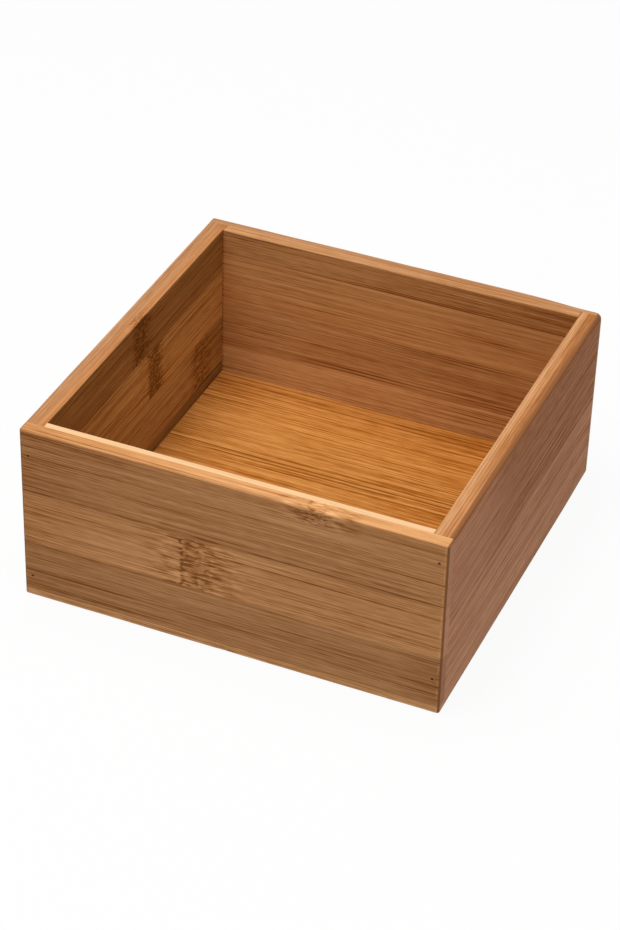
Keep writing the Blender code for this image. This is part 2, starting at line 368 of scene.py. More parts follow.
@dataclass(frozen=True)
class Bamboo:
    """Oiled bamboo: the colours of its flesh, fibres and cut ends, and how strongly each mark shows."""

    light: Colour
    dark: Colour
    scorched: Colour = (0.29, 0.105, 0.029)
    end_grain: Colour = (0.62, 0.265, 0.135)
    burnished: Colour = (0.30, 0.115, 0.040)
    # rim: painted light, a colour that multiplies the faces that look up, making a wall's top lighter or
    # darker
    rim: Colour = WHITE
    rim_calm: float = 0.45
    ground: float = 0.42
    fine: float = 1.85
    flecks: float = 0.9
    bands: float = 0.5
    density: float = 1.0
    waviness: float = 0.3
    dark_lines: float = 0.35
    pale_lines: float = 0.25
    bundles: float = 0.4
    skin: float = 0.0
    chipped: float = 0.0
    roughness: float = 0.50
    dark_roughness: float = 0.14
    gloss: float = 0.10
    bump: float = 0.03
    relief: float = 0.012 * MILLIMETRE

    def material(self, name: str, space: Space, look: SlatLook) -> bpy.types.Material:
        """Make the material of one slat.

        Args:
            name: the material's name.
            space: the box that the slat fills.
            look: what sets the slat apart.

        Returns:
            The material.
        """
        material, graph, shader = new_material(name)
        coat = Coat(self, graph, space, look)
        depth = coat.depth()
        graph.feed(shader.inputs["Base Color"], coat.colour(depth))
        graph.feed(shader.inputs["Roughness"], self.roughness + depth * self.dark_roughness)
        shader.inputs["Specular IOR Level"].default_value = self.gloss
        bump = {"Strength": self.bump, "Distance": self.relief, "Height": 1 - depth}
        graph.feed(shader.inputs["Normal"], graph.add("ShaderNodeBump", {}, bump))
        return material


# How far the grain moves for each unit of a seed, the steps of the marks, and the noise that draws them.
SEED_ACROSS = 37
SEED_DEEP = 11
LIMITS = (-0.3, 1.5)
SCORCHED = (0.8, 1.45)
THIN_LINE = (0.60, 0.72)
LOOKS_UP = (0.4, 0.9)

SLOW_WANDER = Pattern(0.012, 0.06, swing=1.3)
QUICK_WANDER = Pattern(0.05, 0.22, swing=0.3)
KNUCKLE_BEND = Pattern(0.12, 0.26, swing=2.8)
STREAKS = Pattern(0.021, 2.3, 2, 0.62)
FLECKS = Pattern(0.16, 2.4, shift=(0, 0, 20))
BANDS = Pattern(0.006, 0.28, 2)
DARK_FIBRES = Pattern(0.013, 2.1, 0)
PALE_FIBRES = Pattern(0.012, 1.9, 0, shift=(0, 50, 0))
BUNDLES = Pattern(0.016, 1.35)
LINE_BREAKS = Pattern(0.03, 1, 2)
NEAR_EDGE = Pattern(0.5, 0.5, 2, 0.75, swing=3.0)
FAR_EDGE = Pattern(1.1, 1.1, swing=7.0, shift=(0, 0, 9))
PATCHES = Pattern(0.42, 0.5, swing=1.6)
PITS = Pattern(0.5, 0.6)
SIDE_STREAKS = Pattern(0.15, 0.85, 2, 0.6, swing=3.6)
CHIP_EDGE = Pattern(0.55, 0.55, swing=0.9)
CHIP_BREAKS = Pattern(0.3, 0.3, shift=(0, 7, 0))
TOP_EDGE_WANDER = Pattern(0.02, 1.2, 2, swing=4.5)


@dataclass
class Coat:
    """The bamboo of one slat, as expressions of a point's place in the slat."""

    finish: Bamboo
    graph: Graph
    space: Space
    look: SlatLook

    def __post_init__(self) -> None:
        """Find a point's place in the slat, which way it looks, and its place in the grain.

        The fibres wander a little, and more beside a knuckle.
        """
        graph, lay, seed = self.graph, self.space.lay, self.look.seed
        place = graph.scaled(graph.add("ShaderNodeTexCoord", output="Object"), 1 / MILLIMETRE)
        self.axes = lay.order(graph.split(place))
        normal = graph.split(graph.add("ShaderNodeNewGeometry", output="Normal"))
        self.facing = abs(lay.order(normal)[LENGTH])
        self.upward = normal[-1]
        along, across, deep = self.axes
        level = [along, across, 0.0]
        wander = SLOW_WANDER.sway(level, seed) + QUICK_WANDER.sway(level, seed)
        wander = wander * self.finish.waviness
        for knuckle in self.look.knuckles():
            middle = self.space.at_millimetres(LENGTH, knuckle.place_share)
            near = 1 - abs(along - middle).ramp(2, 17)
            wander = wander + KNUCKLE_BEND.sway(self.axes) * near
        self.grain = [along, across + wander + seed * SEED_ACROSS, deep + seed * SEED_DEEP]

    def fibres(self) -> Signal:
        """Draw the fibres: streaks, flecks, wide bands, dark and pale lines, and bundles.

        Returns:
            A darkness around the finish's ground value.
        """
        finish = self.finish
        along, across, deep = self.grain
        grain = [along, across * finish.density, deep * finish.density]
        bundle = BUNDLES.cells(grain)
        strength = self.graph.split(bundle.beside("Color"))[0]
        marks = (
            STREAKS.sway(grain) * finish.fine
            + FLECKS.sway(grain) * finish.flecks
            + BANDS.sway(grain) * finish.bands
            + DARK_FIBRES.read(grain).ramp(*THIN_LINE) * finish.dark_lines
            - PALE_FIBRES.read(grain).ramp(*THIN_LINE) * finish.pale_lines
            + (strength - 0.5) * (1 - bundle.ramp(0.2, 0.6)) * finish.bundles
        )
        return finish.ground + marks * self.look.contrast

    def knuckle(self, knuckle: Knuckle) -> Signal:
        """Draw a knuckle: dark and pale blocks, pits, a crack at its near edge, and streaks beside it.

        Args:
            knuckle: the knuckle.

        Returns:
            The darkness to add, below zero where the flesh is paler.
        """
        along, across, deep = self.axes
        middle = self.space.at_millimetres(LENGTH, knuckle.place_share)
        half = knuckle.half_width / MILLIMETRE
        soft = knuckle.soft / MILLIMETRE
        cross = [across, deep, 0.0]
        ragged = FAR_EDGE.read(cross, middle)
        offset = along - middle + NEAR_EDGE.sway(cross, middle)
        far_side = offset + (ragged - 0.5) * FAR_EDGE.swing
        core = offset.ramp(-half - soft, -half + soft)
        core = core * (1 - far_side.ramp(half - 1.5 * soft, half + 2 * soft))
        pits = 1 - PITS.cells(self.axes).ramp(0.06, 0.24)
        pits = pits * (1 - abs(offset - 0.3 * half).ramp(1, 3.5))
        crack = 1 - abs(offset + half + (ragged - 0.5) * 2).ramp(0.1, 0.9)
        flank = (1 - abs(along - middle).ramp(half + 1, half + 17)) * (1 - core)
        blocks = knuckle.strokes().sway(self.axes) + PATCHES.sway(self.axes)
        marks = (
            core * (blocks + knuckle.ground + pits * 0.9)
            + crack * ragged.ramp(0.38, 0.55) * knuckle.crack
            + flank * (SIDE_STREAKS.sway(self.axes) + 0.08) * knuckle.flank
        )
        return marks * knuckle.darkness

    def dark_line(self, line: DarkLine) -> Signal:
        """Draw a broken line of dark fibres.

        Args:
            line: the line.

        Returns:
            The darkness to add.
        """
        middle = self.space.at_millimetres(WIDTH, line.place_share)
        middle = middle + self.look.seed * SEED_ACROSS
        half = line.half_width / MILLIMETRE
        breaks = LINE_BREAKS.read([self.axes[0], middle, 0.0]).ramp(0.38, 0.52)
        return (1 - abs(self.grain[1] - middle).ramp(half * 0.4, half)) * breaks * line.darkness

    def fade(self, fade: Fade) -> Signal:
        """The darkness that a fade adds."""
        ends = [self.space.at_millimetres(LENGTH, end) for end in (fade.start_share, fade.end_share)]
        return self.axes[0].ramp(*ends) * fade.darkness

    def depth(self) -> Signal:
        """Draw the fibres and the slat's own marks.

        Returns:
            How dark the point is: 0 is flesh, 1 is fibre, and more is scorched.
        """
        draw = {Knuckle: self.knuckle, DarkLine: self.dark_line, Fade: self.fade}
        marks = self.fibres() + sum(draw[type(mark)](mark) for mark in self.look.marks)
        marks = marks * (1 - self.upward.ramp(*LOOKS_UP) * self.finish.rim_calm)
        least, most = LIMITS
        return marks.at_least(least).at_most(most)

    def colour(self, depth: Signal) -> Signal:
        """Colour the slat.

        Args:
            depth: how dark the point is.

        Returns:
            The colour, with the slat's own hue, cut fibres at its ends, rubbed corners and painted light on
            its top.
        """
        finish, look, graph = self.finish, self.look, self.graph
        colour = graph.blend(depth, shade(finish.light, look.tone), shade(finish.dark, look.tone))
        scorched = depth.ramp(*SCORCHED)
        colour = graph.blend(scorched, colour, shade(finish.scorched, look.tone))
        tint = (1, 1 - look.redness, 1 - 2 * look.redness)
        colour = graph.blend(1.0, colour, shade(tint), "MULTIPLY")
        cut = self.facing.ramp(0.80, 0.97) * 0.65
        colour = graph.blend(cut, colour, shade(finish.end_grain, look.tone))
        rubbed = self.facing.ramp(0.2, 0.5) * (1 - self.facing.ramp(0.93, 0.99)) * 0.9
        colour = graph.blend(rubbed, colour, shade(finish.burnished))
        # Painted light: the faces that look up are multiplied by the finish's rim colour.
        colour = graph.blend(self.upward.ramp(*LOOKS_UP), colour, shade(finish.rim), "MULTIPLY")
        if finish.chipped:
            chips = self.chips() * finish.chipped
            colour = graph.blend(chips, colour, shade(finish.light, look.tone * 1.15))
        if finish.skin:
            colour = graph.blend(self.stain() * finish.skin, colour, shade(finish.burnished))
        return colour

    def chips(self) -> Signal:
        """Where the upright edge at the slat's far end is chipped, so that pale flesh shows.

        Returns:
            One in a chip, and zero elsewhere.
        """
        along, across, _ = self.axes
        level = [across, 0.0, 0.0]
        edge = along - self.space.at_millimetres(LENGTH, 1) + CHIP_EDGE.sway(level)
        side = (1 - self.facing.ramp(0.1, 0.3)) * (1 - self.upward.ramp(0.05, 0.3))
        return edge.ramp(-1.55, -1.25) * side * CHIP_BREAKS.read(level).ramp(0.42, 0.56)

    def stain(self) -> Signal:
        """One along the outer edge of the slat's top, where its colour is made darker."""
        depth = self.axes[THICKNESS] - self.space.at_millimetres(THICKNESS, 1)
        return (depth + TOP_EDGE_WANDER.sway(self.axes)).ramp(-3.1, -0.7) * self.upward.ramp(0.1, 0.4)


@dataclass(frozen=True)
class DarkSteel:
    """The dull, darkened steel of the pins, with its rust."""

    colour: Colour = (0.100, 0.045, 0.020)
    rust: Colour = (0.075, 0.034, 0.018)
    roughness: float = 0.60
    rust_roughness: float = 0.3
    metal: float = 0.25
    gloss: float = 0.15
    stain: Pattern = Pattern(3, 3, 3, 0.6)

    def material(self) -> bpy.types.Material:
        """Make the material, with its stains.

        Returns:
            The material.
        """
        material, graph, shader = new_material("dark_steel")
        place = graph.scaled(graph.add("ShaderNodeTexCoord", output="Object"), 1 / MILLIMETRE)
        stain = self.stain.read(graph.split(place))
        colour = graph.blend(stain.ramp(0.5, 0.7), shade(self.colour), shade(self.rust))
        graph.feed(shader.inputs["Base Color"], colour)
        graph.feed(shader.inputs["Roughness"], self.roughness + stain * self.rust_roughness)
        shader.inputs["Metallic"].default_value = self.metal
        shader.inputs["Specular IOR Level"].default_value = self.gloss
        return material


class SlatTree:
    """The Geometry Nodes tree that makes a slat from its place, its rounded edges and its knuckle."""

    WEAR_BLOBS = 7
    FAR_END = (0.82, 1.0)
    MERGED = 0.001 * MILLIMETRE
    LUMPS = 0.9 / MILLIMETRE
    INPUTS = {
        "Vector": ("Low", "High", "Low rounds", "High rounds", "Grain"),
        "Float": ("Far swell", "Wear", "Wear seed", "Knuckle place", "Knuckle half width", "Knuckle dent"),
        "Int": ("Cells X", "Cells Y", "Cells Z", "Round cells"),
        "Material": ("Material",),
    }

    def __init__(self) -> None:
        """Build the tree."""
        self.tree = bpy.data.node_groups.new("Bamboo slat", "GeometryNodeTree")
        face = self.tree.interface
        for kind, names in self.INPUTS.items():
            for name in names:
                face.new_socket(name, in_out="INPUT", socket_type=f"NodeSocket{kind}")
        face.new_socket("Geometry", in_out="OUTPUT", socket_type="NodeSocketGeometry")
        self.graph = Graph(self.tree)
        given = self.tree.nodes.new("NodeGroupInput").outputs
        self.given = {socket.name: Signal(self.graph, socket) for socket in given}
        self.build()

    def build(self) -> None:
        """Add the nodes: a gridded box, its rounding, its dents and its material."""
        graph, given = self.graph, self.given
        cells = [given[f"Cells {axis}"] for axis in "XYZ"]
        rings = {f"Vertices {a}": n + given["Round cells"] * 2 + 1 for a, n in zip("XYZ", cells)}
        box = graph.add("GeometryNodeMeshCube", {}, {"Size": (1, 1, 1), **rings}, "Mesh")
        shares = [part + 0.5 for part in graph.split(graph.add("GeometryNodeInputPosition"))]
        sockets = {"Geometry": box, "Position": self.rounded(shares)}
        placed = graph.add("GeometryNodeSetPosition", {}, sockets)
        sockets = {"Geometry": placed, "Distance": self.MERGED}
        merged = graph.add("GeometryNodeMergeByDistance", {}, sockets)
        sockets = {"Geometry": merged, "Offset": self.dents()}
        dented = graph.add("GeometryNodeSetPosition", {}, sockets)
        real = graph.add("GeometryNodeRealizeInstances", {}, {"Geometry": dented})
        sockets = {"Geometry": real, "Material": given["Material"]}
        dressed = graph.add("GeometryNodeSetMaterial", {}, sockets)
        result = self.tree.nodes.new("NodeGroupOutput")
        graph.feed(result.inputs["Geometry"], dressed)

    def dot(self, first: Signal, second: Signal) -> Signal:
        """The dot product of two vectors."""
        settings = {"operation": "DOT_PRODUCT"}
        return self.graph.add("ShaderNodeVectorMath", settings, {0: first, 1: second}, "Value")

    def rounded(self, shares: list[Signal]) -> Signal:
        """Where each point of the box lies once its edges are rounded.

        Each side has a radius. An edge is rounded where both of its sides have one, as a part of an
        ellipse, and the grid lines crowd together there.

        Args:
            shares: the point's place in the box, from 0 to 1 on each axis.

        Returns:
            The point's place.
        """
        graph, given = self.graph, self.given
        steps = given["Round cells"]
        cells = [given[f"Cells {axis}"] for axis in "XYZ"]
        lines = [share * (count + steps * 2) for share, count in zip(shares, cells)]
        cores = [
            (line - steps).at_least(0).at_most(count) / count for line, count in zip(lines, cells)
        ]
        along = self.dot(graph.vector(*cores), given["Grain"])
        rough = graph.noise(graph.vector(along * self.WEAR_BLOBS, given["Wear seed"], 0))
        swell = 1 + (given["Far swell"] - 1) * along.ramp(*self.FAR_END)
        ease = swell * (1 + (rough - 0.5) * given["Wear"])
        ends = [graph.split(given[name]) for name in ("Low", "High", "Low rounds", "High rounds")]
        inner, excess, reach = [], [], []
        for line, core, count, low, high, low_round, high_round in zip(lines, cores, cells, *ends):
            low_round = low_round * ease
            high_round = high_round * ease
            first = line.at_most(steps) / steps * low_round
            last = (line - steps - count).at_least(0) / steps * high_round
            place = low + first + core * (high - low - low_round - high_round) + last
            held = place.at_least(low + low_round).at_most(high - high_round)
            over = place - held
            inner.append(held)
            excess.append(over)
            reach.append(
                over.at_most(0) / low_round.at_least(TINY) + over.at_least(0) / high_round.at_least(TINY)
            )
        longest = abs(reach[0]).at_least(abs(reach[1])).at_least(abs(reach[2]))
        squares = reach[0] * reach[0] + reach[1] * reach[1] + reach[2] * reach[2]
        pull = longest / graph.math("SQRT", squares).at_least(TINY)
        return graph.vector(*[held + over * pull for held, over in zip(inner, excess)])

    def dents(self) -> Signal:
        """How far each point sinks in at the knuckle.

        Returns:
            The point's offset.
        """
        graph, given = self.graph, self.given
        place = graph.add("GeometryNodeInputPosition")
        away = abs(self.dot(place, given["Grain"]) - given["Knuckle place"])
        inside = 1 - (away / given["Knuckle half width"]).ramp(0.7, 1.25)
        lumps = graph.noise(graph.scaled(place, self.LUMPS), 2, 0.6)
        depth = inside * lumps.ramp(0.4, 0.65) * given["Knuckle dent"]
        return graph.scaled(graph.add("GeometryNodeInputNormal"), depth * -1)

    def mesh(self, name: str, values: dict[str, object]) -> bpy.types.Mesh:
        """Run the tree and keep its result as a plain mesh.

        Args:
            name: the mesh's name.
            values: the value of each input, by its name.

        Returns:
            The mesh, without the empty slot that comes before the tree's material.
        """
        mesh = bpy.data.meshes.new(name)
        holder = new_piece(name, mesh)
        modifier = holder.modifiers.new("Slat", "NODES")
        modifier.node_group = self.tree
        for item in self.tree.interface.items_tree:
            if item.in_out == "INPUT":
                modifier[item.identifier] = values[item.name]
        made = plain_mesh(holder, name)
        made.materials.pop(index=0)
        bpy.data.objects.remove(holder)
        bpy.data.meshes.remove(mesh)
        return made


def plain_mesh(holder: Piece, name: str) -> bpy.types.Mesh:
    """Keep what an object's modifiers make as a plain mesh.

    Args:
        holder: the object.
        name: the new mesh's name.

    Returns:
        The mesh.
    """
    bpy.context.view_layer.update()
    graph = bpy.context.evaluated_depsgraph_get()
    made = bpy.data.meshes.new_from_object(holder.evaluated_get(graph))
    made.name = name
    return made


def new_piece(name: str, data: bpy.types.ID) -> Piece:
    """Put a mesh, a light or a camera in the scene.

    Args:
        name: the object's name.
        data: what it holds.

    Returns:
        The object.
    """
    piece = bpy.data.objects.new(name, data)
    bpy.context.scene.collection.objects.link(piece)
    return piece


def shaped_piece(name: str, shape: bmesh.types.BMesh) -> Piece:
    """Put a worked shape in the scene, and free it.

    Args:
        name: the object's name.
        shape: the shape.

    Returns:
        The object.
    """
    mesh = bpy.data.meshes.new(name)
    shape.to_mesh(mesh)
    shape.free()
    return new_piece(name, mesh)


def dress(piece: Piece, node: str) -> None:
    """Tie a finished piece to the frame, and report it.

    Args:
        piece: the piece.
        node: the CAD node that it stands for.
    """
    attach(piece, BODY)
    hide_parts(node)
    log.info("%s: %d faces, for %s", piece.name, len(piece.data.polygons), node)


def carve(piece: Piece, cutters: list[Piece]) -> None:
    """Cut shapes from a piece, and shade it with sharp and smooth edges as its shape has them.

    Args:
        piece: the piece.
        cutters: the objects to cut away.
    """
    for cutter in cutters:
        cut = piece.modifiers.new(f"Without {cutter.name}", "BOOLEAN")
        cut.operation = "DIFFERENCE"
        cut.object = cutter
    old = piece.data
    piece.data = plain_mesh(piece, piece.name)
    piece.modifiers.clear()
    bpy.data.meshes.remove(old)
    piece.data.shade_smooth()
    piece.data.set_sharp_from_angle(angle=math.radians(32))
    level = piece.modifiers.new("Flat faces stay flat", "WEIGHTED_NORMAL")
    level.keep_sharp = True
    level.weight = 80


def touches(piece: Piece, cutter: Piece) -> bool:
    """Whether two objects' boxes share any space.

    Args:
        piece: the one object.
        cutter: the other.

    Returns:
        True if they do.
    """
    boxes = []
    for item in (piece, cutter):
        points = [vertex.co for vertex in item.data.vertices]
        boxes.append([(min(p[a] for p in points), max(p[a] for p in points)) for a in range(3)])
    return all(a[0] < b[1] and b[0] < a[1] for a, b in zip(*boxes))


@dataclass(frozen=True)
class Rounding:
    """The radii of the box's edges, in metres, and how unevenly they are worn."""

    rim: float = 0.0009
    side: float = 0.0010
    inner_rim: float = 0.0004
    foot: float = 0.0003
    far_swell: float = 2.6
    wear: float = 0.55
    cells: int = 4


ROUND = Rounding()


@dataclass
class Ply:
    """A layer of slats laid edge to edge, numbered from the rim down or from the back of the floor.

    Its sides are (axis, -1 or 1) pairs. It meets other wood at some, each with the share of the glue line
    that it grows by to close it, and it is rounded at others, each with its radius.
    """

    name: str
    lay: Lay
    finish: Bamboo
    looks: tuple[SlatLook, ...]
    meets: dict[tuple[int, int], float]
    rounds: dict[tuple[int, int], float]
    rim: float = 0.0
    foot: float = 0.0
    far_swell: float = 1.0
    wear_seed: float = 0.0
    fine_cell: float = 0.9 * MILLIMETRE
    plain_cell: float = 2.5 * MILLIMETRE

    def node(self, number: int) -> str:
        """The name of a slat's CAD node."""
        return f"{self.name}_slat_{number}"

    def glue_line(self) -> float:
        """The gap that the frame keeps between two slats."""
        axis = self.lay.value[WIDTH]
        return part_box(self.node(1))[0][axis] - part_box(self.node(2))[1][axis]

    def space(self, number: int) -> Space:
        """Where a slat lies once its glue lines are closed.

        Args:
            number: the slat's number.

        Returns:
            The box that it fills.
        """
        low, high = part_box(self.node(number))
        glue = self.glue_line()
        for (axis, side), share in self.meets.items():
            corner = high if side > 0 else low
            corner[axis] += side * share * glue
        across = self.lay.value[WIDTH]
        if number > 1:
            high[across] += glue / 2
        if number < len(self.looks):
            low[across] -= glue / 2
        return Space(low, high, self.lay)

    def radii(self, number: int) -> tuple[Vector, Vector]:
        """The radius of each of a slat's sides.

        Args:
            number: the slat's number.

        Returns:
            The radii of its low sides and of its high sides.
        """
        low, high = Vector(), Vector()
        for (axis, side), radius in self.rounds.items():
            (high if side > 0 else low)[axis] = radius
        across = self.lay.value[WIDTH]
        if number == 1:
            high[across] = self.rim
        if number == len(self.looks):
            low[across] = self.foot
        return low, high

    def slat(self, number: int, look: SlatLook, tree: SlatTree) -> Piece:
        """Make one slat.

        Args:
            number: its number.
            look: what sets it apart.
            tree: the tree that makes it.

        Returns:
            The slat.
        """
        name = f"{self.name}_bamboo_{number}"
        space = self.space(number)
        knuckles = look.knuckles()
        knuckle = knuckles[0] if knuckles else Knuckle(0, dent=0)
        cell = self.fine_cell if knuckles else self.plain_cell
        low_rounds, high_rounds = self.radii(number)
        grain = Vector()
        grain[self.lay.value[LENGTH]] = 1
        values = {
            "Low": space.low,
            "High": space.high,
            "Low rounds": low_rounds,
            "High rounds": high_rounds,
            "Far swell": self.far_swell,
            "Wear": ROUND.wear,
            "Wear seed": self.wear_seed,
            "Grain": grain,
            "Round cells": ROUND.cells,
            "Knuckle place": space.at(LENGTH, knuckle.place_share),
            "Knuckle half width": knuckle.half_width,
            "Knuckle dent": knuckle.dent,
            "Material": self.finish.material(name, space, look),
        }
        for axis, letter in enumerate("XYZ"):
            values[f"Cells {letter}"] = max(2, round((space.high[axis] - space.low[axis]) / cell))
        return new_piece(name, tree.mesh(name, values))

    def build(self, tree: SlatTree) -> list[Piece]:
        """Make the ply's slats with the tree."""
        return [self.slat(number, look, tree) for number, look in enumerate(self.looks, 1)]

    def finished(self, slats: list[Piece], cutters: list[Piece]) -> None:
        """Cut the slats, and tie them to the frame.

        Args:
            slats: the ply's slats.
            cutters: the objects to cut from those that they touch.
        """
        for number, slat in enumerate(slats, 1):
            carve(slat, [cutter for cutter in cutters if touches(slat, cutter)])
            dress(slat, self.node(number))


@dataclass
class Wall:
    """A wall of two plies, which faces -1 (front or left) or 1 (back or right).

    The finishes and the looks are those of its outer ply and of its inner ply.
    """

    name: str
    lay: Lay
    facing: int
    finishes: tuple[Bamboo, Bamboo]
    looks: tuple[tuple[SlatLook, ...], tuple[SlatLook, ...]]
    half_glue: float = 0.5
    whole_glue: float = 1.0

    def plies(self) -> list[Ply]:
        """Describe the wall's plies.

        The outer ply of a front or back wall runs to the corners, and the other plies end between walls.

        Returns:
            The outer ply and the inner ply.
        """
        thickness = self.lay.value[THICKNESS]
        outside, inside = (thickness, self.facing), (thickness, -self.facing)
        ends = [(self.lay.value[LENGTH], side) for side in (-1, 1)]
        if self.lay is Lay.END_WALL:
            outer_glue, inner_glue, end_round, seeds = 0.0, self.whole_glue, ROUND.side, (3.1, 5.7)
        else:
            outer_glue, inner_glue, end_round, seeds = self.half_glue, self.half_glue, 0.0, (7.9, 9.3)
        outer = Ply(
            f"{self.name}_outer", self.lay, self.finishes[0], self.looks[0],
            meets={inside: self.half_glue, **dict.fromkeys(ends, outer_glue)},
            rounds={outside: ROUND.side, **dict.fromkeys(ends, end_round)},
            rim=ROUND.rim, foot=ROUND.foot, wear_seed=seeds[0],
            far_swell=ROUND.far_swell if self.facing > 0 else 1.0,
        )
        inner = Ply(
            f"{self.name}_inner", self.lay, self.finishes[1], self.looks[1],
            meets={outside: self.half_glue, **dict.fromkeys(ends, inner_glue)},
            rounds={inside: ROUND.inner_rim},
            rim=ROUND.inner_rim, wear_seed=seeds[1],
        )
        return [outer, inner]


@dataclass
class CornerPins:
    """The steel pins that hold the corners, with their bores.

    The head's share is of the pin's solid. The crown and the shank are shares of the head, and the crown's
    drop is a share of the dome.
    """

    steps: int = 24
    snug: float = 0.00003
    dome: float = 0.00008
    head_share: float = 0.78
    crown_share: float = 0.7
    crown_drop_share: float = 0.2
    shank_share: float = 0.75
    head_depth: float = 0.0005
    neck_depth: float = 0.00065
    point: float = 0.0016
    bore_reach: float = 0.002
    places: tuple = (("front", "back"), ("left", "right"), ("upper", "lower"))

    def outline(self, node: str, margin: float) -> tuple[list[tuple[float, float]], Vector, int]:
        """A pin's outline, from the middle of its head to its point.

        Args:
            node: the pin's CAD node.
            margin: how much to add all round.

        Returns:
            The radius and depth of each corner, the middle of the head, and the sign of its wall.
        """
        low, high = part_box(node)
        wall = 1 if low.y > 0 else -1
        length = high.y - low.y
        radius = (high.x - low.x) / 2 * self.head_share
        head = Vector(((low.x + high.x) / 2, high.y if wall > 0 else low.y, (low.z + high.z) / 2))
        shank = radius * self.shank_share
        points = [
            (0.0, margin),
            (radius * self.crown_share + margin, margin - self.crown_drop_share * self.dome),
            (radius + margin, margin - self.dome),
            (radius + margin, -self.head_depth - margin),
            (shank + margin, -self.neck_depth - margin),
            (shank + margin, self.point - length - margin),
            (0.0, -length - margin),
        ]
        return points, head, wall

    def turned(self, name: str, node: str, margin: float = 0.0, top: float = 0.0) -> Piece:
        """Turn a pin or its bore.

        Args:
            name: the object's name.
            node: the pin's CAD node.
            margin: how much to add all round.
            top: how much further the top reaches out.

        Returns:
            The object.
        """
        points, head, wall = self.outline(node, margin)
        shape = bmesh.new()
        chain = [shape.verts.new((radius, 0, depth)) for radius, depth in points]
        if top:
            for vertex in chain[:3]:
                vertex.co.z = top
        edges = [shape.edges.new(pair) for pair in zip(chain, chain[1:])]
        bmesh.ops.spin(
            shape, geom=chain + edges, cent=(0, 0, 0), axis=(0, 0, 1), angle=math.tau,
            steps=self.steps, use_merge=True,
        )
        bmesh.ops.remove_doubles(shape, verts=shape.verts, dist=TINY)
        bmesh.ops.recalc_face_normals(shape, faces=shape.faces)
        turn = Matrix.Rotation(-wall * math.pi / 2, 4, "X")
        bmesh.ops.transform(shape, matrix=Matrix.Translation(head) @ turn, verts=shape.verts)
        return shaped_piece(name, shape)

    def build(self, steel: bpy.types.Material) -> list[Piece]:
        """Make the pins.

        Args:
            steel: their material.

        Returns:
            The cutters of their bores.
        """
        bores = []
        for place in product(*self.places):
            name = "_".join(place)
            node = f"{name}_pin"
            pin = self.turned(f"{name}_nail", node)
            pin.data.materials.append(steel)
            carve(pin, [])
            dress(pin, node)
            bores.append(self.turned(f"{name}_bore", node, self.snug, self.bore_reach))
        return bores


def floor_groove(floor: Ply) -> Piece:
    """The space of the floor panel, which is cut from the inner plies.

    Args:
        floor: the floor's slats.

    Returns:
        The cutter.
    """
    spaces = [floor.space(number) for number in range(1, len(floor.looks) + 1)]
    low = Vector([min(space.low[axis] for space in spaces) for axis in range(3)])
    high = Vector([max(space.high[axis] for space in spaces) for axis in range(3)])
    margin = Vector((2, 2, 2)) * TINY
    shape = bmesh.new()
    bmesh.ops.create_cube(shape, size=1)
    bmesh.ops.scale(shape, vec=high - low + 2 * margin, verts=shape.verts)
    bmesh.ops.translate(shape, vec=(low + high) / 2, verts=shape.verts)
    return shaped_piece("floor_groove", shape)


@dataclass(frozen=True)
class SoftBox:
    """A square soft light."""

    name: str
    place: Triple
    aim: Triple
    width: float
    power: float

    def build(self) -> None:
        """Hang the light."""
        light = bpy.data.lights.new(self.name, "AREA")
        light.shape = "SQUARE"
        light.size = self.width
        light.energy = self.power
        lamp = new_piece(self.name, light)
        lamp.location = self.place
        lamp.rotation_euler = (Vector(self.aim) - Vector(self.place)).to_track_quat("-Z", "Y").to_euler()


